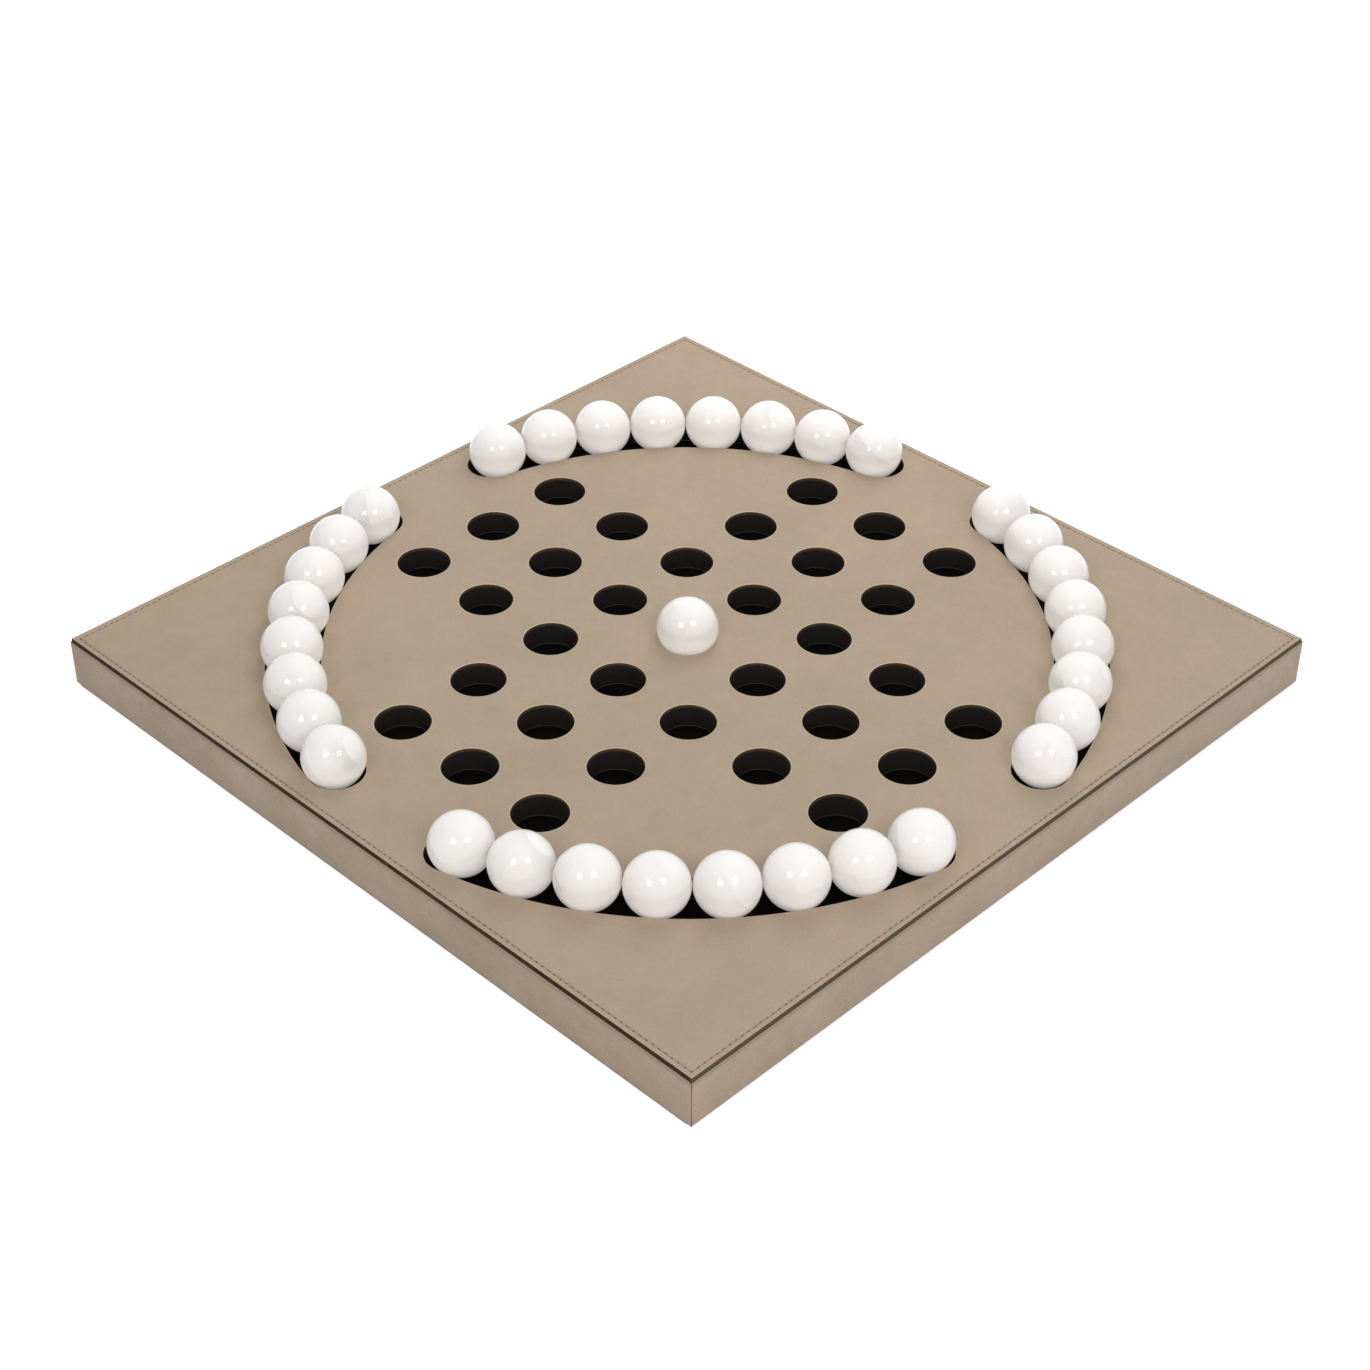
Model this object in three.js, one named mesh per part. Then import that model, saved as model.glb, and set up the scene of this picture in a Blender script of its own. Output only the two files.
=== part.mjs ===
// Peg solitaire board for marbles: a low square wooden box clad in leather, with 33 sockets
// in a cross and a curved tray at each corner for the marbles that are out of play.
// Millimetres, +Z up, -Y the front. The origin is the middle of the underside.
import * as THREE from 'three';

// The marbles, and how a socket's edge carries one
const marbleDiameter = 25;
const seatLap = 1.4; // how far a socket's edge reaches in under a marble
const seatGap = 0.3; // keeps a resting marble just off that edge
const marbleGap = 0.04; // between neighbours in a tray

// The cross of sockets, with one in the middle of the board
const pitch = 39;
const socketCountInRow = 7; // along each middle line
const socketCountInArm = 3; // across each arm

// The trays, and the margin of board outside them
const marblesInTray = 8;
const trayWeb = 12.5; // wood left between a tray and the outermost sockets
const trayPlay = 2.76; // how far a full tray's end marble is from the tray's end, with the row in the middle
const edgeMargin = 9.44;

// The layers, from the underside up, and the leather round the sides
const baseLiningThickness = 0.8;
const baseLiningInset = 0.6; // in from the outside of the side leather
const baseBoardThickness = 10.4;
const floorLiningThickness = 0.7;
const drilledBoardThickness = 9;
const backingThickness = 0.6;
const topLeatherThickness = 0.9;
const topLap = 0.6; // how far the top leather and its backing reach out over the side leather
const sideLeatherThickness = 1;

// How finely the round shapes are divided
const socketSides = 16;
const trayArcSteps = 14;
const trayEndSteps = 8;
const marbleSides = 12;
const marbleRings = 8;

// Plan sizes
const marbleRadius = marbleDiameter / 2;
const socketRadius = marbleRadius - seatLap;
const lastInRow = Math.floor(socketCountInRow / 2); // counted from the middle socket
const lastInArm = Math.floor(socketCountInArm / 2);
const outermostSocket = Math.hypot(lastInRow, lastInArm) * pitch;
const trayRadius = outermostSocket + socketRadius + trayWeb + socketRadius;
const marbleStep = 2 * Math.asin((marbleRadius + marbleGap / 2) / trayRadius);
const trayHalfAngle = ((marblesInTray - 1) / 2) * marbleStep + trayPlay / trayRadius;
const quarterTurn = Math.PI / 2;
const eighthTurn = Math.PI / 4;
const trayReach = trayRadius * Math.cos(eighthTurn - trayHalfAngle) + socketRadius;
const boardSide = 2 * (trayReach + edgeMargin);
const boxSide = boardSide + 2 * sideLeatherThickness;
const topSide = boardSide + 2 * topLap;

// Heights of the underside of each layer
const baseBoardBottom = baseLiningThickness;
const floorLiningBottom = baseBoardBottom + baseBoardThickness;
const drilledBoardBottom = floorLiningBottom + floorLiningThickness;
const backingBottom = drilledBoardBottom + drilledBoardThickness;
const topLeatherBottom = backingBottom + backingThickness;
const topSurface = topLeatherBottom + topLeatherThickness;
const marbleCentre = topSurface + Math.sqrt(marbleRadius ** 2 - socketRadius ** 2) + seatGap;

// The corners that have a tray, counted round from the front right one
const corners = ['front_right', 'back_right', 'back_left', 'front_left'];
const rowRolled = [0.8, -0.4, 0, 1]; // how far each corner's row of marbles lies towards its last one

const finishes = {
  taupeLeather: { color: 0xac9b86, roughness: 0.6 },
  sideLeather: { color: 0xa49583, roughness: 0.6 },
  brownBacking: { color: 0x3d2c1b, roughness: 0.7 },
  blackStainedBoard: { color: 0x0f0c0b, roughness: 0.85 },
  blackFelt: { color: 0x0b0908, roughness: 0.95 },
  rawBoard: { color: 0xb0916a, roughness: 0.8 },
  brownSuede: { color: 0x4a3a2c, roughness: 0.95 },
  pearlGlass: { color: 0xf2efeb, roughness: 0.15 },
};

// A named mesh in one of the finishes, with its own material
function piece(name, geometry, finish) {
  const mesh = new THREE.Mesh(geometry, new THREE.MeshStandardMaterial({ ...finishes[finish], metalness: 0 }));
  mesh.name = name;
  return mesh;
}

// Points along an arc, both ends included
function arcPoints(x, y, radius, start, end, steps) {
  const points = [];
  for (let step = 0; step <= steps; step += 1) {
    const angle = start + ((end - start) * step) / steps;
    points.push(new THREE.Vector2(x + radius * Math.cos(angle), y + radius * Math.sin(angle)));
  }
  return points;
}

// A socket's outline, its flats at the true radius so that a marble always clears them
function socketOutline(x, y) {
  const cornerRadius = socketRadius / Math.cos(Math.PI / socketSides);
  return new THREE.Path(arcPoints(x, y, cornerRadius, 0, 2 * Math.PI, socketSides).slice(1));
}

// The direction from the board's centre to the middle of a corner's tray
function trayMiddle(corner) {
  return corner * quarterTurn - eighthTurn;
}

// A tray's outline: a band round the board's centre, as wide as a socket, with round ends
function trayOutline(corner) {
  const start = trayMiddle(corner) - trayHalfAngle;
  const end = trayMiddle(corner) + trayHalfAngle;
  const endCap = (angle, from) => {
    const x = trayRadius * Math.cos(angle);
    const y = trayRadius * Math.sin(angle);
    return arcPoints(x, y, socketRadius, from, from + Math.PI, trayEndSteps).slice(1, -1);
  };
  return new THREE.Path([
    ...arcPoints(0, 0, trayRadius + socketRadius, start, end, trayArcSteps),
    ...endCap(end, end),
    ...arcPoints(0, 0, trayRadius - socketRadius, end, start, trayArcSteps),
    ...endCap(start, start + Math.PI),
  ]);
}

// Where the sockets of the cross are
function socketPlaces() {
  const places = [];
  for (let column = -lastInRow; column <= lastInRow; column += 1) {
    for (let row = -lastInRow; row <= lastInRow; row += 1) {
      if (Math.abs(column) <= lastInArm || Math.abs(row) <= lastInArm) {
        places.push([column * pitch, row * pitch]);
      }
    }
  }
  return places;
}

// A square sheet that lies at a height, with or without the sockets and trays cut through it
function sheet(name, side, bottom, thickness, finish, cut = false) {
  const half = side / 2;
  const outline = new THREE.Shape([
    new THREE.Vector2(-half, -half),
    new THREE.Vector2(half, -half),
    new THREE.Vector2(half, half),
    new THREE.Vector2(-half, half),
  ]);
  if (cut) {
    outline.holes = [
      ...socketPlaces().map(([x, y]) => socketOutline(x, y)),
      ...corners.map((_, corner) => trayOutline(corner)),
    ];
  }
  const geometry = new THREE.ExtrudeGeometry(outline, { depth: thickness, bevelEnabled: false });
  const mesh = piece(name, geometry, finish);
  mesh.position.z = bottom;
  return mesh;
}

// A strip of leather up one side of the box. The left and right ones cover the ends of the others.
function sideStrip(name, turn, length) {
  const height = backingBottom - baseBoardBottom;
  const geometry = new THREE.BoxGeometry(sideLeatherThickness, length, height);
  const mesh = piece(name, geometry, 'sideLeather');
  mesh.position.set((boardSide + sideLeatherThickness) / 2, 0, baseBoardBottom + height / 2);
  const side = new THREE.Group();
  side.rotation.z = turn * quarterTurn;
  side.add(mesh);
  return side;
}

// A marble resting over a point of the board
function marble(name, x, y) {
  const ball = new THREE.SphereGeometry(marbleRadius, marbleSides, marbleRings).rotateX(quarterTurn);
  const mesh = piece(name, ball, 'pearlGlass');
  mesh.position.set(x, y, marbleCentre);
  return mesh;
}

const box = new THREE.Group();
box.add(
  sheet('base_lining', boxSide - 2 * baseLiningInset, 0, baseLiningThickness, 'brownSuede'),
  sheet('base_board', boardSide, baseBoardBottom, baseBoardThickness, 'rawBoard'),
  sheet('floor_lining', boardSide, floorLiningBottom, floorLiningThickness, 'blackFelt'),
  sheet('drilled_board', boardSide, drilledBoardBottom, drilledBoardThickness, 'blackStainedBoard', true),
  sheet('top_backing', topSide, backingBottom, backingThickness, 'brownBacking', true),
  sheet('top_leather', topSide, topLeatherBottom, topLeatherThickness, 'taupeLeather', true),
  sideStrip('side_leather_right', 0, boxSide),
  sideStrip('side_leather_back', 1, boardSide),
  sideStrip('side_leather_left', 2, boxSide),
  sideStrip('side_leather_front', 3, boardSide),
);

const marbles = new THREE.Group();
marbles.add(marble('marble_centre', 0, 0));
corners.forEach((cornerName, corner) => {
  for (let place = 1; place <= marblesInTray; place += 1) {
    const alongRow = (place - (marblesInTray + 1) / 2) * marbleStep;
    const angle = trayMiddle(corner) + alongRow + rowRolled[corner] / trayRadius;
    const x = trayRadius * Math.cos(angle);
    const y = trayRadius * Math.sin(angle);
    marbles.add(marble(`marble_${cornerName}_${place}`, x, y));
  }
});

const solitaireBoard = new THREE.Group();
solitaireBoard.add(box, marbles);

export default solitaireBoard;
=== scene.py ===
import math
import random
from functools import partial

import bmesh
import bpy
from mathutils import Matrix, Vector


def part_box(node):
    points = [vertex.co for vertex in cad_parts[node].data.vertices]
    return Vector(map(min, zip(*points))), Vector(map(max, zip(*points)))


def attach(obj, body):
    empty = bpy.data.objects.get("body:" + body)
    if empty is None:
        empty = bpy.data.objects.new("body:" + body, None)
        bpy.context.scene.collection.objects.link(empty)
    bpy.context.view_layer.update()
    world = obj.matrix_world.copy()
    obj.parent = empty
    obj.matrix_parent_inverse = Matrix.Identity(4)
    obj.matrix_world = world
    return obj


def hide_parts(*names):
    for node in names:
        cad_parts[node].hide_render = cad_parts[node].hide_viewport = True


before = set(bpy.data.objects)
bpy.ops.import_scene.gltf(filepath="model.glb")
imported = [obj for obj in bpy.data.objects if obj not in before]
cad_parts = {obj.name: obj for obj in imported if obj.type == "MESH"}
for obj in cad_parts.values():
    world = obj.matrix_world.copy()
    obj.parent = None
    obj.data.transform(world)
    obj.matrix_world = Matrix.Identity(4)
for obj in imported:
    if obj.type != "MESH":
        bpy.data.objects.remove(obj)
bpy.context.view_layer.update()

# Camera: a long lens that looks down on the board from off its front right corner.
# Sizes in this file are millimetres, and mm turns them into the frame's metres.
mm = 0.001
camera_azimuth = math.radians(44.585)
camera_elevation = math.radians(36.692)
camera_roll = math.radians(0.231)
camera_distance = 1046.2
focal_length = 69.79
film_width = 36
board_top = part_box("top_leather")[1].z / mm
camera_target = Vector((21.37, -23.01, board_top))
camera_direction = Vector((
    math.sin(camera_azimuth) * math.cos(camera_elevation),
    -math.cos(camera_azimuth) * math.cos(camera_elevation),
    math.sin(camera_elevation),
))
lens = bpy.data.cameras.new("camera")
lens.sensor_fit = "HORIZONTAL"
lens.sensor_width = film_width
lens.lens = focal_length
camera = bpy.data.objects.new("camera", lens)
camera.matrix_world = (
    Matrix.Translation((camera_target + camera_distance * camera_direction) * mm)
    @ Matrix.Rotation(camera_azimuth, 4, "Z")
    @ Matrix.Rotation(math.pi / 2 - camera_elevation, 4, "X")
    @ Matrix.Rotation(camera_roll, 4, "Z")
)
bpy.context.collection.objects.link(camera)
bpy.context.scene.camera = camera
bpy.context.scene.view_settings.view_transform = "Standard"

# Room: a flat sheet of white paper under an even white sky, as round a product in a studio.
# Two soft boxes by the camera leave the pair of highlights on each marble. A broad panel behind
# the board and one to its right make the far side and the right face a little lighter.
floor_radius = 4000
floor_sides = 96
floor_drop = 0.2  # keeps the paper clear of the underside
floor_white = 0.85
floor_glow = 0.5  # makes the paper pure white where it is seen directly
sky_strength = 0.53
white = (1, 1, 1, 1)
sharp_angle = math.radians(42)
# Each lamp's degrees round from the camera and up from the floor, its distance, its width, its watts,
# and whether it is mirrored in glossy surfaces
lamps = {
    "soft box left": (-30, 40, 1800, 540, 5.15, True),
    "soft box right": (31, 45, 1650, 495, 4.4, True),
    "back panel": (164, 52, 640, 460, 1.9, False),
    "right panel": (24, 27, 1000, 600, 1.4, False),
}


def node(tree, kind, sockets=None, **settings):
    """Adds a node. A socket is given a value, or another node's output to link to."""
    added = tree.nodes.new(kind)
    for name, value in settings.items():
        setattr(added, name, value)
    for name, value in (sockets or {}).items():
        if isinstance(value, bpy.types.NodeSocket):
            tree.links.new(value, added.inputs[name])
        else:
            added.inputs[name].default_value = value
    return added


def arithmetic(tree, operation, *values, **settings):
    """The result of a calculation with numbers and with other nodes' outputs."""
    sockets = dict(enumerate(values))
    return node(tree, "ShaderNodeMath", sockets, operation=operation, **settings).outputs[0]


def seen_directly(tree):
    """1 for rays from the camera, from a mirror surface and through glass, and 0 for others."""
    path = node(tree, "ShaderNodeLightPath").outputs
    seen_or_mirrored = arithmetic(tree, "ADD", path["Is Camera Ray"], path["Is Glossy Ray"])
    return arithmetic(tree, "ADD", seen_or_mirrored, path["Is Transmission Ray"], use_clamp=True)


sky = bpy.data.worlds.new("white room")
sky.use_nodes = True
sky_tree = sky.node_tree
sky_tree.nodes.clear()
sky_level = node(
    sky_tree, "ShaderNodeMapRange",
    {"Value": seen_directly(sky_tree), "To Min": sky_strength, "To Max": 1},
)
sky_light = node(sky_tree, "ShaderNodeBackground", {"Color": white, "Strength": sky_level.outputs[0]})
node(sky_tree, "ShaderNodeOutputWorld", {"Surface": sky_light.outputs[0]})
bpy.context.scene.world = sky

floor_paper = bpy.data.materials.new("white paper sweep")
floor_paper.use_nodes = True
paper_tree = floor_paper.node_tree
paper_tree.nodes.clear()
paper_glow = arithmetic(paper_tree, "MULTIPLY", seen_directly(paper_tree), floor_glow)
paper_white = node(paper_tree, "ShaderNodeBsdfDiffuse", {"Color": (*[floor_white] * 3, 1)})
paper_light = node(paper_tree, "ShaderNodeEmission", {"Color": white, "Strength": paper_glow})
paper_mix = node(paper_tree, "ShaderNodeAddShader", {0: paper_white.outputs[0], 1: paper_light.outputs[0]})
node(paper_tree, "ShaderNodeOutputMaterial", {"Surface": paper_mix.outputs[0]})


def finished(name, bm, materials):
    """Turns a bmesh in millimetres into an object with its materials, smooth but for its sharp edges."""
    bmesh.ops.scale(bm, vec=(mm, mm, mm), verts=bm.verts)
    mesh = bpy.data.meshes.new(name)
    bm.to_mesh(mesh)
    bm.free()
    for material in materials:
        mesh.materials.append(material)
    mesh.shade_smooth()
    mesh.set_sharp_from_angle(angle=sharp_angle)
    piece = bpy.data.objects.new(name, mesh)
    bpy.context.collection.objects.link(piece)
    return piece


floor_mesh = bmesh.new()
bmesh.ops.create_circle(
    floor_mesh, cap_ends=True, segments=floor_sides, radius=floor_radius,
    matrix=Matrix.Translation((0, 0, -floor_drop)),
)
finished("floor", floor_mesh, [floor_paper])

for lamp_name, (across, up, distance, width, watts, mirrored) in lamps.items():
    panel = bpy.data.lights.new(lamp_name, "AREA")
    panel.shape = "SQUARE"
    panel.size = width * mm
    panel.energy = watts
    lamp = bpy.data.objects.new(lamp_name, panel)
    turn = Matrix.Rotation(camera_azimuth + math.radians(across), 4, "Z")
    tilt = Matrix.Rotation(math.pi / 2 - math.radians(up), 4, "X")
    away = Matrix.Translation((0, 0, distance * mm))
    lamp.matrix_world = Matrix.Translation((0, 0, board_top * mm)) @ turn @ tilt @ away
    lamp.visible_glossy = mirrored
    bpy.context.collection.objects.link(lamp)

# Base lining: a square of brown suede glued over the underside, so that the box doesn't mark a table.
# It was laid by hand a little nearer the front, where it shows as a thin dark line under the side.
suede_dark = "3a2c20"
suede_light = "55432f"
suede_nap = 0.7
suede_strokes = 18
lining_corner = 2.5
lining_spans = 40
lining_ease = 0.25  # how far the nap rounds the lower edge
ease_shares = [(2, 0), (0.3, 0.3), (0, 1)]  # inwards and up, of the ease
lining_shift = 0.35
least_corner = 0.3
corner_segments = 5


def linear(sRGB):
    """Blender's linear colour of an sRGB hex value."""
    parts = [int(sRGB[start:start + 2], 16) / 255 for start in (0, 2, 4)]
    return (*[part / 12.92 if part <= 0.04045 else ((part + 0.055) / 1.055) ** 2.4 for part in parts], 1)


def spaced(sockets):
    """The same values, under names with spaces as the sockets have them."""
    return {name.replace("_", " "): value for name, value in sockets.items()}


def new_material(name, **sockets):
    """A material, its tree, its shader with these sockets set, and the coordinates of the object."""
    material = bpy.data.materials.new(name)
    material.use_nodes = True
    tree = material.node_tree
    tree.nodes.clear()
    shader = node(tree, "ShaderNodeBsdfPrincipled", spaced(sockets))
    node(tree, "ShaderNodeOutputMaterial", {"Surface": shader.outputs[0]})
    return material, tree, shader, node(tree, "ShaderNodeTexCoord").outputs["Object"]


def per(size):
    """The scale of a noise or cell pattern whose features are this many millimetres apart."""
    return 1 / (size * mm)


def noise(tree, at, size, detail, **sockets):
    """Cloudy noise with features this many millimetres apart."""
    values = {"Vector": at, "Scale": per(size), "Detail": detail, **spaced(sockets)}
    return node(tree, "ShaderNodeTexNoise", values).outputs[0]


def bands(tree, at, size, direction, profile="SIN", **sockets):
    """Bands this many millimetres apart. The pattern turns 20 radians per unit of its scale."""
    values = {"Vector": at, "Scale": math.tau / 20 * per(size), **spaced(sockets)}
    return node(
        tree, "ShaderNodeTexWave", values, bands_direction=direction, wave_profile=profile
    ).outputs["Fac"]


def blended(tree, first, second, share):
    """A number that lies this share of the way from the first to the second."""
    return node(tree, "ShaderNodeMix", {0: share, 2: first, 3: second}).outputs[0]


def toned(tree, first, second, share):
    """A colour between two others, each of them an sRGB hex value or another node's output."""
    first, second = (linear(tone) if isinstance(tone, str) else tone for tone in (first, second))
    return node(tree, "ShaderNodeMix", {0: share, 6: first, 7: second}, data_type="RGBA").outputs[2]


def covered(tree, value, start, full, **settings):
    """How much of the way from start to full a value has covered, from 0 to 1."""
    sockets = {"Value": value, "From Min": start, "From Max": full}
    return node(tree, "ShaderNodeMapRange", sockets, **settings).outputs[0]


def dress(tree, shader, colour, relief=None, strength=0, depth=0):
    """Gives a shader its colour and, from a relief this many millimetres deep, its bumps."""
    tree.links.new(colour, shader.inputs["Base Color"])
    if relief is not None:
        sockets = {"Height": relief, "Strength": strength, "Distance": depth * mm}
        tree.links.new(node(tree, "ShaderNodeBump", sockets).outputs[0], shader.inputs["Normal"])


def square_ring(half, corner, spans, bm, grow, height):
    """The edges of a square's outline with rounded corners, each side in some equal spans."""
    square = bmesh.ops.create_grid(
        bm, x_segments=1, y_segments=1, size=half + grow, matrix=Matrix.Translation((0, 0, height))
    )
    rounded = bmesh.ops.bevel(
        bm, geom=square["verts"], offset=max(corner + grow, least_corner), offset_type="OFFSET",
        segments=corner_segments, profile=0.5, affect="VERTICES", material=-1,
    )
    face = rounded["verts"][0].link_faces[0]
    sides = [edge for edge in face.edges if edge.calc_length() > half]
    bmesh.ops.subdivide_edges(bm, edges=sides, cuts=spans - 1)
    edges = list(face.edges)
    bmesh.ops.delete(bm, geom=[face], context="FACES_ONLY")
    return edges


def wall(bm, outline, profile, paints=()):
    """Rings of one outline at each step of a profile, bridged. Returns the first ring and the last.

    No two steps in a row are level, because the bridge between such rings can twist.
    paints holds the material's number for each band from the start. The bands after them take the first."""
    rings = [outline(bm, grow, height) for grow, height in profile]
    for band, (lower, upper) in enumerate(zip(rings, rings[1:])):
        for face in bmesh.ops.bridge_loops(bm, edges=lower + upper)["faces"]:
            face.material_index = paints[band] if band < len(paints) else 0
    return rings[0], rings[-1]


def close(bm, rings, up):
    """Fills the flat space between an outer ring and those inside it."""
    bmesh.ops.triangle_fill(bm, use_beauty=True, edges=sum(rings, []), normal=(0, 0, up))


def board_piece(name, node_name, bm, materials):
    """Finishes a piece of the board that stands for a CAD node."""
    bmesh.ops.recalc_face_normals(bm, faces=bm.faces)
    piece = finished(name, bm, materials)
    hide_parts(node_name)
    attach(piece, "board")


# Suede is napped split leather: dull, darker where the nap was stroked flat, and lit at a grazing angle.
brown_suede, suede_tree, suede_shader, suede_at = new_material(
    "napped brown suede", Roughness=0.95, Specular_IOR_Level=0.2, Sheen_Weight=0.35, Sheen_Roughness=0.5
)
strokes = noise(suede_tree, suede_at, suede_strokes, detail=4)
fibres = noise(suede_tree, suede_at, suede_nap, detail=3)
nap = blended(suede_tree, strokes, fibres, share=0.35)
nap_tone = toned(suede_tree, suede_dark, suede_light, nap)
dress(suede_tree, suede_shader, nap_tone, fibres, strength=0.6, depth=0.15)

lining_low, lining_high = (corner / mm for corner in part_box("base_lining"))
lining_mesh = bmesh.new()
lining_outline = partial(square_ring, lining_high.x, lining_corner, lining_spans)
lining_profile = [
    (-inwards * lining_ease, lining_low.z + upwards * lining_ease) for inwards, upwards in ease_shares
]
lining_profile += [(0, lining_high.z)]
lining_bottom, lining_top = wall(lining_mesh, lining_outline, lining_profile)
close(lining_mesh, [lining_bottom], -1)
close(lining_mesh, [lining_top], 1)
bmesh.ops.translate(lining_mesh, vec=(0, -lining_shift, 0), verts=lining_mesh.verts)
board_piece("suede_underside", "base_lining", lining_mesh, [brown_suede])

# Base board: birch plywood that closes the box from below and carries the drilled board.
# It is glued in under the floor lining, and no part of it shows on a finished board.
ply_thickness = 1.4
ply_grain_length = 40
ply_stretch = (1, 14, 14)
ply_pale = "c9a878"
ply_dark = "8f6c45"


def keep_node(node_name, material):
    """Leaves a CAD node's mesh as it is and gives it this material."""
    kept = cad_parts[node_name]
    kept.data.materials.clear()
    kept.data.materials.append(material)


birch_ply, ply_tree, ply_shader, ply_at = new_material("sanded birch plywood", Roughness=0.75)
ply_layers = bands(ply_tree, ply_at, ply_thickness, "Z", Distortion=0.3)
ply_stretched = node(ply_tree, "ShaderNodeMapping", {"Vector": ply_at, "Scale": ply_stretch}).outputs[0]
ply_grain = noise(ply_tree, ply_stretched, ply_grain_length, detail=6)
ply_figure = blended(ply_tree, ply_layers, ply_grain, share=0.5)
dress(ply_tree, ply_shader, toned(ply_tree, ply_pale, ply_dark, ply_figure))
keep_node("base_board", birch_ply)

# Floor lining: black wool felt, laid whole over the base board before the drilled board goes on.
# It is the floor of every socket and tray, and swallows the light there.
felt_fibre = 0.5
felt_black = "030202"
felt_worn = "0e0b08"
black_felt, felt_tree, felt_shader, felt_at = new_material(
    "pressed black felt", Roughness=1, Specular_IOR_Level=0.1
)
felt_fibres = noise(felt_tree, felt_at, felt_fibre, detail=5, Distortion=1.5)
felt_tone = toned(felt_tree, felt_black, felt_worn, felt_fibres)
dress(felt_tree, felt_shader, felt_tone, felt_fibres, strength=0.7, depth=0.2)
keep_node("floor_lining", black_felt)

# Drilled board: 9 mm fibreboard, drilled for 33 sockets and routed for four trays, then stained black.
# The cutter's faint rings show on the socket walls, where the stain is a little thin, and a grey line
# is painted along the foot of each wall: a painted reflection where the wall meets the felt.
pitch = 39
row_reach = 3  # sockets from the middle one to the end of a middle row
arm_reach = 1  # and from the middle of an arm to its side
socket_radius = 11.1
tray_play = 2.76  # from a full tray's end marble to the tray's end, with the row in the middle
marbles_in_tray = 8
socket_segments = 72
tray_steps = 60
tray_end_steps = 24
board_corner = 0.4
board_spans = 30
stain_black = "110f0e"
stain_thin = "251e1a"
cutter_ring = 0.9
fibre_length = 3.0
reflection_height = 0.4
reflection_grey = "45423f"
touching = 0.01  # places this close are taken as one


def middle_of(node_name):
    """The middle of a CAD node's box."""
    low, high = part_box(node_name)
    return (low + high) / 2 / mm


def bearing(place):
    """The direction of a place from the middle of the board, as an angle."""
    return math.atan2(place.y, place.x)


corners = ["front_right", "back_right", "back_left", "front_left"]
quarter_turn = math.pi / 2
first_in_tray = middle_of("marble_front_right_1")
last_in_tray = middle_of(f"marble_front_right_{marbles_in_tray}")
tray_radius = first_in_tray.xy.length
tray_middle = -math.pi / 4
tray_half_angle = (bearing(last_in_tray) - bearing(first_in_tray)) / 2 + tray_play / tray_radius


def whole_ring(start):
    """Every edge that is joined to a vertex, by way of others."""
    found = []
    waiting = [start]
    while waiting:
        for edge in waiting.pop().link_edges:
            if edge not in found:
                found.append(edge)
                waiting.extend(edge.verts)
    return found


def socket_ring(place, bm, grow, height):
    """The edges of a socket's outline."""
    circle = bmesh.ops.create_circle(
        bm, segments=socket_segments, radius=socket_radius + grow,
        matrix=Matrix.Translation((*place, height)),
    )
    return whole_ring(circle["verts"][0])


def tray_ring(middle, bm, grow, height):
    """The edges of a tray's outline: the outer arc, a round end, the inner arc and the other end."""
    start = Matrix.Rotation(middle - tray_half_angle, 4, "Z")
    end = Matrix.Rotation(middle + tray_half_angle, 4, "Z")
    end_centre = Vector((tray_radius, 0, height))
    turns = [
        (Vector((0, 0, height)), 2 * tray_half_angle, tray_steps),
        (end @ end_centre, math.pi, tray_end_steps),
        (Vector((0, 0, height)), -2 * tray_half_angle, tray_steps),
        (start @ end_centre, math.pi, tray_end_steps),
    ]
    outermost = end_centre + Vector((socket_radius + grow, 0, 0))
    first = bmesh.ops.create_vert(bm, co=start @ outermost)["vert"][0]
    last = first
    for centre, angle, steps in turns:
        arc = bmesh.ops.spin(bm, geom=[last], cent=centre, axis=(0, 0, 1), angle=angle, steps=steps)
        last = arc["geom_last"][0]
    halfway = first.link_edges[0].other_vert(first)
    bmesh.ops.remove_doubles(bm, verts=[first, last], dist=touching)
    return whole_ring(halfway)


socket_places = [
    (column * pitch, row * pitch)
    for column in range(-row_reach, row_reach + 1)
    for row in range(-row_reach, row_reach + 1)
    if min(abs(column), abs(row)) <= arm_reach
]
openings = [partial(tray_ring, tray_middle + corner * quarter_turn) for corner in range(len(corners))]
openings += [partial(socket_ring, place) for place in socket_places]


def cut_sheet(outline, outer_profile, hole_profile, edge_paints=(), hole_paints=()):
    """A sheet with the sockets and trays cut through it, from the profiles of its edge and of theirs."""
    bm = bmesh.new()
    ends = [wall(bm, opening, hole_profile, hole_paints) for opening in openings]
    ends += [wall(bm, outline, outer_profile, edge_paints)]
    close(bm, [bottom for bottom, _ in ends], -1)
    close(bm, [top for _, top in ends], 1)
    return bm


# Black water stain on cut fibreboard: near black, dry and slightly furry, with the drill's rings.
black_stain, stain_tree, stain_shader, stain_at = new_material(
    "black stained fibreboard", Roughness=0.8, Specular_IOR_Level=0.3
)
stain_fibres = noise(stain_tree, stain_at, fibre_length, detail=7, Roughness=0.7)
stain_rings = bands(stain_tree, stain_at, cutter_ring, "Z", Distortion=1.2, Detail=2)
stain_relief = blended(stain_tree, stain_rings, stain_fibres, share=0.6)
stain_tone = toned(stain_tree, stain_black, stain_thin, stain_relief)
dress(stain_tree, stain_shader, stain_tone, stain_relief, strength=0.35, depth=0.1)

# Along the foot of each wall, where it meets the felt, a grey line is painted: a painted reflection.
foot_reflection = new_material("painted reflection at the foot of the walls", Roughness=0.55, Base_Color=linear(reflection_grey))[0]

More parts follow.
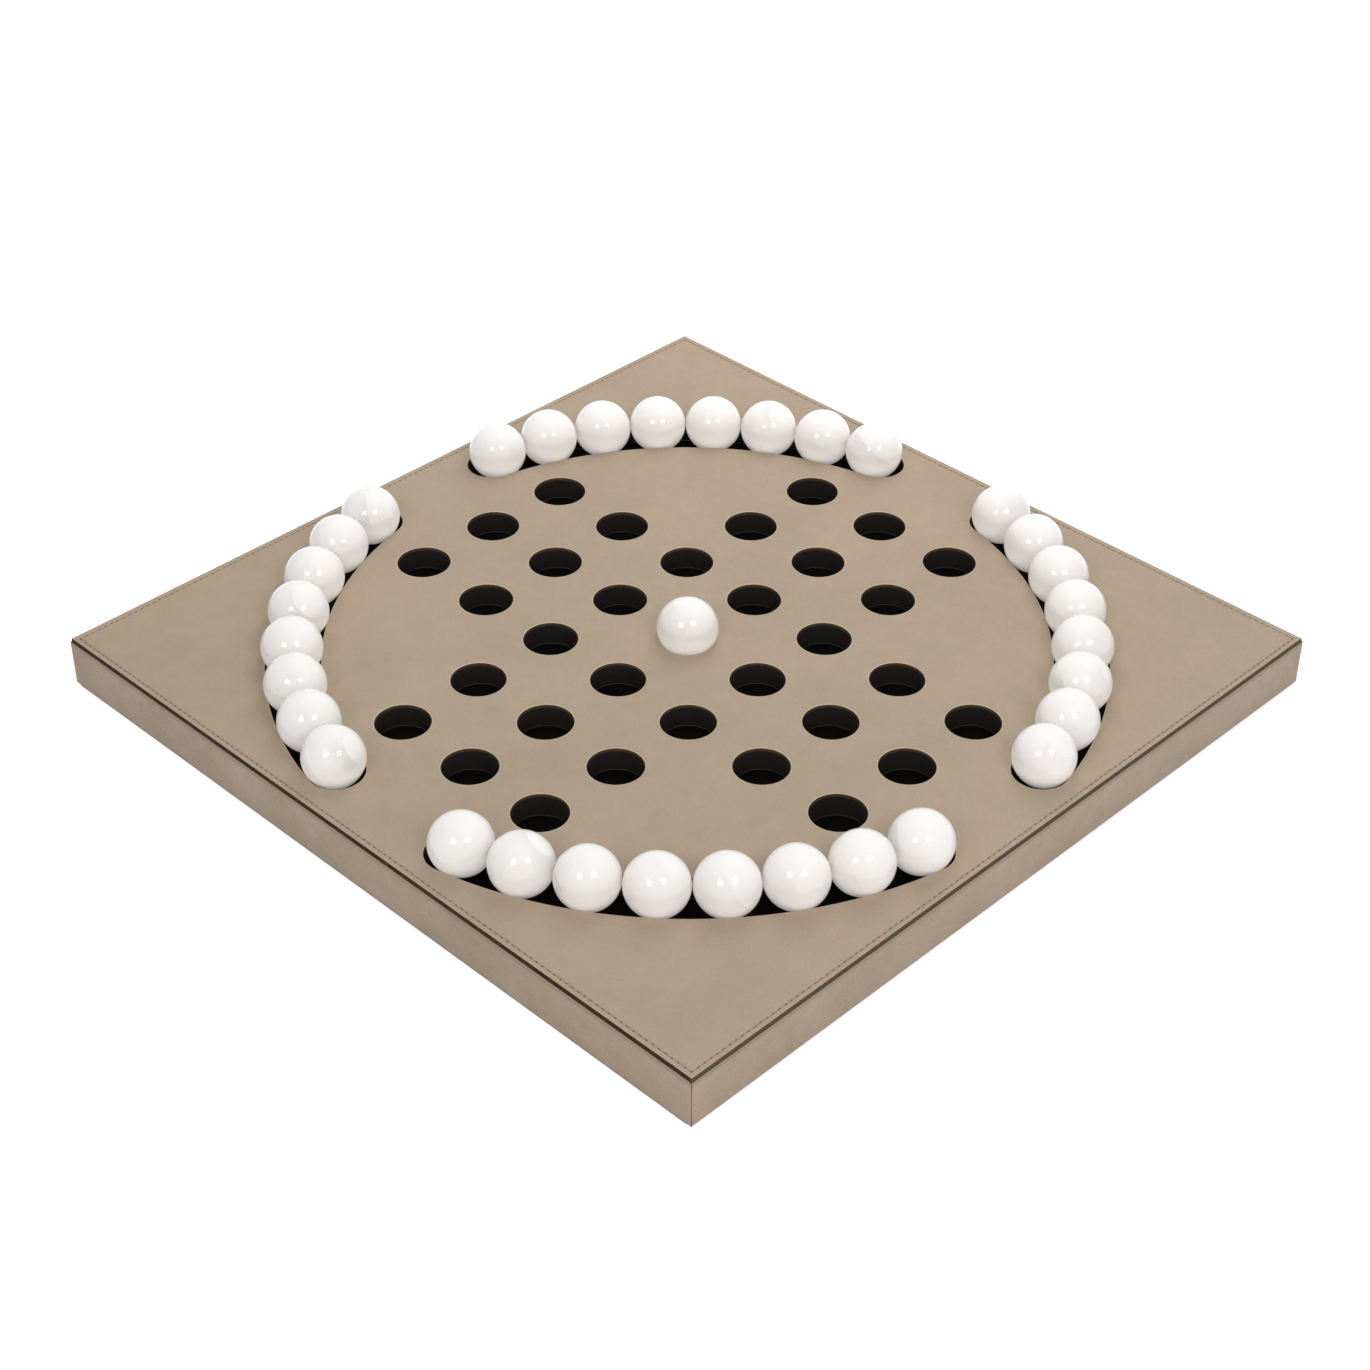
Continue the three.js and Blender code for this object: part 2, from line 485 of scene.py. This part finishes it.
board_low, board_high = (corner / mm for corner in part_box("drilled_board"))
board_outline = partial(square_ring, board_high.x, board_corner, board_spans)
board_profile = [(0, board_low.z), (0, board_high.z)]
board_hole = [(0, board_low.z), (0, board_low.z + reflection_height), (0, board_high.z)]
board_materials = [black_stain, foot_reflection]
board_paints = [board_materials.index(foot_reflection)]
board_mesh = cut_sheet(board_outline, board_profile, board_hole, hole_paints=board_paints)
board_piece("socket_board", "drilled_board", board_mesh, board_materials)

# Side leather: four strips of the same hide as the top, glued round the box before the top goes on.
# The left and right strips lap the ends of the other two. Brown paint covers the cut top edges, and
# lies as a line down each corner, where it is rubbed thin.
strip_edge = 0.24
strip_edge_segments = 3
rubbed_edge_share = 0.8  # of the rounded edge, from the corner
crease_drop = 0.95
crease_width = 0.5
crease_depth = 0.09
crease_snap = 0.001
# Painted shade on the side leather under its rim: where it starts and is full below the rim, how dark it
# gets at most, and how its edge wavers
rim_shade_start = 2.4
rim_shade_full = 0.9
rim_shade_most = 0.6
rim_waver = 1.1
rim_patch = 7
side_tone = "b19f8e"
side_dark = "958570"
side_rim_shade = "8c7c69"
rubbed_red = "7f5a49"
rubbed_from = 2.5
rubbed_full = 7
rubbed_waver = 4
rubbed_patch = 3
paint_brown = "2d1d0d"
paint_worn = "48331b"
paint_right_lit = "4e4434"
paint_run = 5
hide_grain = 0.8
hide_warp = 2.4
hide_pore = 0.42
hide_cloud = 34
hide_scuff = 6
hide_smoothest = 0.5
hide_roughest = 0.72


def coordinate(tree, at, axis):
    """One coordinate of a place on the object, in metres."""
    return node(tree, "ShaderNodeSeparateXYZ", {"Vector": at}).outputs[axis]


def leather(name, tone, dark, mark=None, mark_tone=None):
    """Finished calf hide: matt taupe, cloudy over a palm's width, with a fine pebbled grain.

    mark(tree, at) gives where the hide takes mark_tone, from 0 to 1."""
    material, tree, shader, at = new_material(name, Specular_IOR_Level=0.22)
    warp = node(tree, "ShaderNodeTexNoise", {"Vector": at, "Scale": per(hide_warp), "Detail": 2})
    bent = node(
        tree, "ShaderNodeVectorMath",
        {0: warp.outputs["Color"], 1: (hide_grain * mm,) * 3, 2: at}, operation="MULTIPLY_ADD",
    ).outputs[0]
    grain = node(
        tree, "ShaderNodeTexVoronoi", {"Vector": bent, "Scale": per(hide_grain), "Randomness": 1},
        feature="SMOOTH_F1",
    ).outputs["Distance"]
    pores = noise(tree, at, hide_pore, detail=3)
    clouds = noise(tree, at, hide_cloud, detail=4, Roughness=0.55)
    scuffs = noise(tree, at, hide_scuff, detail=5)
    relief = blended(tree, grain, pores, share=0.4)
    worn = blended(tree, clouds, scuffs, share=0.25)
    shade = blended(tree, worn, relief, share=0.4)
    colour = toned(tree, tone, dark, covered(tree, shade, start=0.3, full=0.7))
    if mark:
        colour = toned(tree, colour, mark_tone, mark(tree, at))
    dress(tree, shader, colour, relief, strength=0.3, depth=0.12)
    gloss = node(
        tree, "ShaderNodeMapRange", {"Value": scuffs, "To Min": hide_smoothest, "To Max": hide_roughest}
    )
    tree.links.new(gloss.outputs[0], shader.inputs["Roughness"])
    return material


# Edge paint is a brown acrylic built up in coats on a cut edge: smooth, satin, thinner in places. On the
# board's right side it is painted paler: painted light, for the brighter light falling on that side.
painted_edge, paint_tree, paint_shader, paint_at = new_material(
    "brown leather edge paint", Roughness=0.6, Specular_IOR_Level=0.1
)
paint_runs = noise(paint_tree, paint_at, paint_run, detail=4)
paint_wear = covered(paint_tree, paint_runs, start=0.45, full=0.8)
paint_coats = toned(paint_tree, paint_brown, paint_worn, paint_wear)
# Painted light: the edge paint on the board's right side takes a paler tone.
right_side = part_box("side_leather_right")[0].x
on_the_right = arithmetic(paint_tree, "GREATER_THAN", coordinate(paint_tree, paint_at, "X"), right_side)
paint_tone = toned(paint_tree, paint_coats, paint_right_lit, on_the_right)
dress(paint_tree, paint_shader, paint_tone, paint_runs, strength=0.3, depth=0.2)

# Down the corners the paint is rubbed through to the red of the tanned leather, but for both ends.
rubbed_edge, rubbed_tree, rubbed_shader, rubbed_at = new_material(
    "rubbed edge paint", Roughness=0.6, Specular_IOR_Level=0.2
)
strips_low, strips_high = (corner.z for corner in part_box("side_leather_front"))
rubbed_height = coordinate(rubbed_tree, rubbed_at, "Z")
from_end = arithmetic(rubbed_tree, "PINGPONG", rubbed_height, (strips_low + strips_high) / 2)
rubbed_patches = noise(rubbed_tree, rubbed_at, rubbed_patch, detail=3)
rubbed_wander = arithmetic(rubbed_tree, "MULTIPLY_ADD", rubbed_patches, rubbed_waver * mm, from_end)
rubbed_depth = covered(rubbed_tree, rubbed_wander, start=rubbed_from * mm, full=rubbed_full * mm)
dress(rubbed_tree, rubbed_shader, toned(rubbed_tree, paint_brown, rubbed_red, rubbed_depth))


def painted_rim_shade(tree, at):
    """Where the side leather takes a painted shade from the top's edge, most of all just under the rim."""
    waver = noise(tree, at, rim_patch, detail=3)
    wavering = arithmetic(tree, "MULTIPLY_ADD", waver, rim_waver * mm, coordinate(tree, at, "Z"))
    low = strips_high - (rim_shade_start - rim_waver / 2) * mm
    high = strips_high - (rim_shade_full - rim_waver / 2) * mm
    sockets = {"Value": wavering, "From Min": low, "From Max": high, "To Max": rim_shade_most}
    return node(tree, "ShaderNodeMapRange", sockets).outputs[0]


# The side hide darkens under its rim with painted shade.
side_hide = leather("taupe calf hide, sides", side_tone, side_dark, painted_rim_shade, side_rim_shade)
strip_materials = [side_hide, painted_edge, rubbed_edge]

for strip_turn, strip_name in enumerate(["right", "back", "left", "front"]):
    strip_low, strip_high = (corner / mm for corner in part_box(f"side_leather_{strip_name}"))
    strip_size = strip_high - strip_low
    strip_laps = strip_name in ("left", "right")
    strip_length = max(strip_size.x, strip_size.y)
    strip_thickness = min(strip_size.x, strip_size.y)
    strip_rim = strip_size.z / 2
    crease_height = strip_rim - crease_drop
    outside = max(strip_high.x, -strip_low.x) if strip_laps else max(strip_high.y, -strip_low.y)
    strip_mesh = bmesh.new()
    bmesh.ops.create_cube(strip_mesh, size=1)
    bmesh.ops.scale(strip_mesh, vec=(strip_thickness, strip_length, strip_size.z), verts=strip_mesh.verts)
    for offset in (-crease_width / 2, 0, crease_width / 2):
        bmesh.ops.bisect_plane(
            strip_mesh, geom=strip_mesh.verts[:] + strip_mesh.edges[:] + strip_mesh.faces[:],
            dist=crease_snap, plane_co=(0, 0, crease_height + offset), plane_no=(0, 0, 1),
        )
    creased = [
        vert for vert in strip_mesh.verts
        if vert.co.x > 0 and abs(vert.co.z - crease_height) < crease_width / 4
    ]
    bmesh.ops.translate(strip_mesh, vec=(-crease_depth, 0, 0), verts=creased)
    outer_edges = []
    for edge in strip_mesh.edges:
        places = [vert.co for vert in edge.verts]
        on_rim = all(abs(place.z) > strip_rim - touching for place in places)
        on_corner = strip_laps and all(abs(place.y) > strip_length / 2 - touching for place in places)
        if all(place.x > 0 for place in places) and (on_rim or on_corner):
            outer_edges.append(edge)
    bmesh.ops.bevel(
        strip_mesh, geom=outer_edges, offset=strip_edge, offset_type="OFFSET",
        segments=strip_edge_segments, profile=0.5, affect="EDGES", material=-1,
    )
    for face in strip_mesh.faces:
        place = face.calc_center_median()
        off_corner = max(strip_thickness / 2 - place.x, strip_length / 2 - abs(place.y))
        if place.z > strip_rim - touching:
            face.material_index = strip_materials.index(painted_edge)
        elif strip_laps and off_corner < rubbed_edge_share * strip_edge:
            face.material_index = strip_materials.index(rubbed_edge)
    bmesh.ops.translate(
        strip_mesh, vec=(outside - strip_thickness / 2, 0, (strip_low.z + strip_high.z) / 2),
        verts=strip_mesh.verts,
    )
    bmesh.ops.rotate(
        strip_mesh, cent=(0, 0, 0), matrix=Matrix.Rotation(strip_turn * quarter_turn, 3, "Z"),
        verts=strip_mesh.verts,
    )
    board_piece(
        f"side_hide_{strip_name}", f"side_leather_{strip_name}", strip_mesh,
        strip_materials,
    )

# Backing: thin split leather glued and sewn under the top hide, cut together with it.
# Round the rim the two are painted as one thick edge, and in the openings their cut edges stay bare.
edge_bulge = 0.05
top_corner = 0.5
backing_spans = 60
bare_brown = "403022"
bare_pale = "604c38"
bare_fibre = 1.2
backing_low, backing_high = (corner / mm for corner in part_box("top_backing"))
backing_outline = partial(square_ring, backing_high.x, top_corner, backing_spans)
backing_wall = [
    (0, backing_low.z),
    (edge_bulge, (backing_low.z + backing_high.z) / 2),
    (edge_bulge, backing_high.z),
]
backing_hole_wall = [(-grow, height) for grow, height in backing_wall]

# The cut through vegetable tanned leather is brown, dry and fibrous, with no finish on it.
bare_edge, bare_tree, bare_shader, bare_at = new_material(
    "bare cut leather edge", Roughness=0.85, Specular_IOR_Level=0.2
)
bare_fibres = noise(bare_tree, bare_at, bare_fibre, detail=5)
bare_tone = toned(bare_tree, bare_brown, bare_pale, bare_fibres)
dress(bare_tree, bare_shader, bare_tone, bare_fibres, strength=0.4, depth=0.1)
backing_materials = [painted_edge, bare_edge]
backing_paints = [backing_materials.index(bare_edge)] * (len(backing_hole_wall) - 1)
backing_mesh = cut_sheet(backing_outline, backing_wall, backing_hole_wall, hole_paints=backing_paints)
board_piece("painted_backing", "top_backing", backing_mesh, backing_materials)

# Top leather: one taupe calf hide, die-cut with the sockets and trays and sewn to its backing.
# The die has rolled the edges over. Round each opening the rolled edge is painted paler, a painted
# highlight where it catches the light. The seam round the rim pulls a shallow groove into it.
top_tone = "ac9b86"
top_dark = "9d8d79"
rim_highlight_tone = "c3b29d"
rim_highlight_dark = "b7a793"
needle_shade_brown = "3a2919"
edge_roll = 0.34
hole_roll = 0.4
roll_shares = [(0, 1), (0.12, 0.5), (0.45, 0.15), (1, 0.04)]  # inwards and down, of the roll
flat_rim = 0.5
seam_inset = 2.6
seam_corner = 0.3
seam_depth = 0.32
groove_half = [(0.9, 0), (0.55, 0.12), (0.32, 0.5), (0.16, 0.9)]  # off the seam, and share of its depth
stitch_length = 3.0
spans_per_stitch = 6
needle_pull = 0.12
needle_reach = 1.0
needle_width = 0.52


def needle_hole_shade(tree, at):
    """Where the needle has pricked the hide, from 0 to 1. There the hide takes a painted shade for the
    holes.
    """
    return node(tree, "ShaderNodeAttribute", attribute_name="needle_hole").outputs["Fac"]


top_hide = leather("taupe calf hide, top", top_tone, top_dark, needle_hole_shade, needle_shade_brown)
# A paler copy of the hide for the rolled rims of the openings: a painted highlight.
rim_highlight_hide = leather("taupe calf hide, painted rim highlight", rim_highlight_tone, rim_highlight_dark)
hide_materials = [top_hide, painted_edge, bare_edge, rim_highlight_hide]
painted_band = hide_materials.index(painted_edge)
bare_band = hide_materials.index(bare_edge)
rim_highlight_band = hide_materials.index(rim_highlight_hide)

hide_low, hide_high = (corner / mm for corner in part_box("top_leather"))
seam_half = hide_high.x - seam_inset
seam_reach = seam_half - seam_corner
stitches_per_side = round(2 * seam_reach / stitch_length)
stitch_step = 2 * seam_reach / stitches_per_side
hide_outline = partial(square_ring, hide_high.x, top_corner, stitches_per_side * spans_per_stitch)
groove = groove_half + [(0, 1)] + [(-offset, share) for offset, share in reversed(groove_half[1:])]
groove_end = -groove_half[0][0] - seam_inset
edge_paints = [painted_band] * (1 + len(roll_shares))
hole_paints = [bare_band, bare_band, rim_highlight_band, rim_highlight_band]
hide_edge = [(edge_bulge, hide_low.z), (edge_bulge, (hide_low.z + hide_high.z) / 2)]
hide_edge += [(-share * edge_roll, hide_high.z - drop * edge_roll) for share, drop in roll_shares]
hide_edge += [(offset - seam_inset, hide_high.z - share * seam_depth) for offset, share in groove]
hide_edge += [(groove_end, hide_high.z - roll_shares[-1][1] * edge_roll)]
hide_edge += [(groove_end - flat_rim, hide_high.z)]
hide_hole = [(0, hide_low.z)]
hide_hole += [(share * hole_roll, hide_high.z - drop * hole_roll) for share, drop in roll_shares]
hide_hole += [(hole_roll + flat_rim, hide_high.z)]
hide_mesh = cut_sheet(hide_outline, hide_edge, hide_hole, edge_paints, hole_paints)
# The pricked places are dipped a little and painted dark: painted shade for the needle holes.
needle_hole = hide_mesh.verts.layers.float.new("needle_hole")
for vert in hide_mesh.verts:
    along, across = sorted((abs(vert.co.x), abs(vert.co.y)))
    stitches_off = (seam_reach - along) / stitch_step
    to_hole = abs(stitches_off - round(stitches_off)) * stitch_step
    pricked = max(0, 1 - to_hole / needle_reach) * max(0, 1 - abs(across - seam_half) / needle_width)
    if vert.co.z > hide_high.z - edge_roll:
        vert[needle_hole] = pricked
        vert.co.z -= pricked * needle_pull
board_piece("top_hide", "top_leather", hide_mesh, hide_materials)

# Seam: a lockstitch in waxed polyester thread, its colour matched to the hide, round all four sides.
# Each stitch lies a little aslant and goes down at both ends into the needle's holes.
thread_radius = 0.17
thread_rise = 0.26
thread_reach = 1.0  # from a stitch's middle to where it goes down
thread_lift = 0.02
thread_slant = math.radians(7)
slant_spread = math.radians(2.5)
slant_seed = 11
thread_sides = 7
thread_steps = 6
thread_pale = "a0917c"
thread_dark = "847562"
thread_twist = 0.35

waxed_thread, thread_tree, thread_shader, thread_at = new_material("waxed taupe thread", Roughness=0.5)
twist = bands(thread_tree, thread_at, thread_twist, "DIAGONAL", Distortion=1)
thread_tone = toned(thread_tree, thread_dark, thread_pale, twist)
dress(thread_tree, thread_shader, thread_tone, twist, strength=0.5, depth=0.08)

thread_arc = (thread_reach ** 2 + thread_rise ** 2) / (2 * thread_rise)
thread_angle = math.asin(thread_reach / thread_arc)
thread_crown = hide_high.z - seam_depth + thread_lift
seam_mesh = bmesh.new()
bmesh.ops.create_circle(
    seam_mesh, segments=thread_sides, radius=thread_radius,
    matrix=Matrix.Rotation(thread_angle, 4, "X") @ Matrix.Translation((0, 0, thread_arc))
    @ Matrix.Rotation(math.pi / 2, 4, "X"),
)
bmesh.ops.spin(
    seam_mesh, geom=seam_mesh.verts[:] + seam_mesh.edges[:], cent=(0, 0, 0), axis=(1, 0, 0),
    angle=-2 * thread_angle, steps=thread_steps,
)
bmesh.ops.holes_fill(seam_mesh, edges=seam_mesh.edges[:], sides=thread_sides)
bmesh.ops.translate(seam_mesh, vec=(0, 0, -thread_arc), verts=seam_mesh.verts)
one_stitch = seam_mesh.verts[:] + seam_mesh.edges[:] + seam_mesh.faces[:]
hand = random.Random(slant_seed)
for side in range(len(corners)):
    for place in range(stitches_per_side):
        along = seam_reach - (place + 0.5) * stitch_step
        copied = bmesh.ops.duplicate(seam_mesh, geom=one_stitch)["geom"]
        bmesh.ops.transform(
            seam_mesh,
            matrix=Matrix.Rotation(side * quarter_turn, 4, "Z")
            @ Matrix.Translation((seam_half, along, thread_crown))
            @ Matrix.Rotation(thread_slant + hand.uniform(-slant_spread, slant_spread), 4, "Z"),
            verts=[item for item in copied if isinstance(item, bmesh.types.BMVert)],
        )
bmesh.ops.delete(seam_mesh, geom=[item for item in one_stitch if isinstance(item, bmesh.types.BMVert)])
bmesh.ops.recalc_face_normals(seam_mesh, faces=seam_mesh.faces)
seam = finished("rim_stitching", seam_mesh, [waxed_thread])
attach(seam, "board")

# Marbles: 33 balls of milky glass with pearl in it, ground and polished to 25 mm.
# They are loose: one waits in the middle socket and eight in each tray, sunk a little into the rolled edge.
pearl_white = "ebe8e6"
pearl_grey = "dad8d7"
pearl_lit_low = "fbf9f7"
pearl_sheet = 15
pearl_drift = 19
milk_depth = 12  # how far light passes into the glass
milk_shares = (1, 0.95, 0.9)  # of that depth, for red, green and blue light
glass_ior = 1.52
painted_glow = 0.3
glow_from = 2  # over the ball's middle, where the lower side starts to whiten
glow_full = -8  # and where it is whitest
glow_colour = "fff3ec"
marble_subdivisions = 5
marble_sink = 0.45

# Pearly glass: clear gloss over milk that light passes into. Silky sheets of pearl lie folded in it,
# each grey along one crisp edge and fading to white from there. The lower side is painted whiter and
# glows a little: painted light, standing in for light that passes through the milky glass.
pearl_glass, pearl_tree, pearl_shader, pearl_at = new_material(
    "polished pearly glass", Roughness=0.35, Specular_IOR_Level=0, Coat_Weight=1, Coat_Roughness=0.02,
    Coat_IOR=glass_ior, Subsurface_Weight=1, Subsurface_Scale=milk_depth * mm,
    Subsurface_Radius=milk_shares, Emission_Color=linear(glow_colour),
)
pearl_sheets = bands(
    pearl_tree, pearl_at, pearl_sheet, "DIAGONAL", "SAW", Distortion=8, Detail=1, Detail_Scale=0.7
)
sheet_edge = covered(pearl_tree, pearl_sheets, start=0.55, full=1, interpolation_type="SMOOTHSTEP")
drifts = noise(pearl_tree, pearl_at, pearl_drift, detail=1, Roughness=0.4)
drift_depth = covered(pearl_tree, drifts, start=0.46, full=0.72)
pearl_depth = arithmetic(pearl_tree, "MULTIPLY", sheet_edge, drift_depth)
pearl_tone = toned(pearl_tree, pearl_white, pearl_grey, pearl_depth)
# Painted light: below the ball's middle the colour turns whiter and the glass glows a little.
centre_height = middle_of("marble_centre").z * mm
pearl_height = coordinate(pearl_tree, pearl_at, "Z")
painted_lower_light = covered(
    pearl_tree, pearl_height,
    start=centre_height + glow_from * mm, full=centre_height + glow_full * mm,
)
pearl_glow = arithmetic(pearl_tree, "MULTIPLY", painted_lower_light, painted_glow)
dress(pearl_tree, pearl_shader, toned(pearl_tree, pearl_tone, pearl_lit_low, painted_lower_light))
pearl_tree.links.new(pearl_glow, pearl_shader.inputs["Emission Strength"])

marble_names = ["marble_centre"]
marble_names += [f"marble_{corner}_{place}" for corner in corners for place in range(1, marbles_in_tray + 1)]
for marble_name in marble_names:
    marble_low, marble_high = (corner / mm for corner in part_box(marble_name))
    marble_mesh = bmesh.new()
    bmesh.ops.create_icosphere(
        marble_mesh, subdivisions=marble_subdivisions, radius=(marble_high.z - marble_low.z) / 2,
        matrix=Matrix.Translation((marble_low + marble_high) / 2 - Vector((0, 0, marble_sink))),
    )
    ball = finished(marble_name.replace("marble", "pearl_marble"), marble_mesh, [pearl_glass])
    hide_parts(marble_name)
    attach(ball, marble_name)
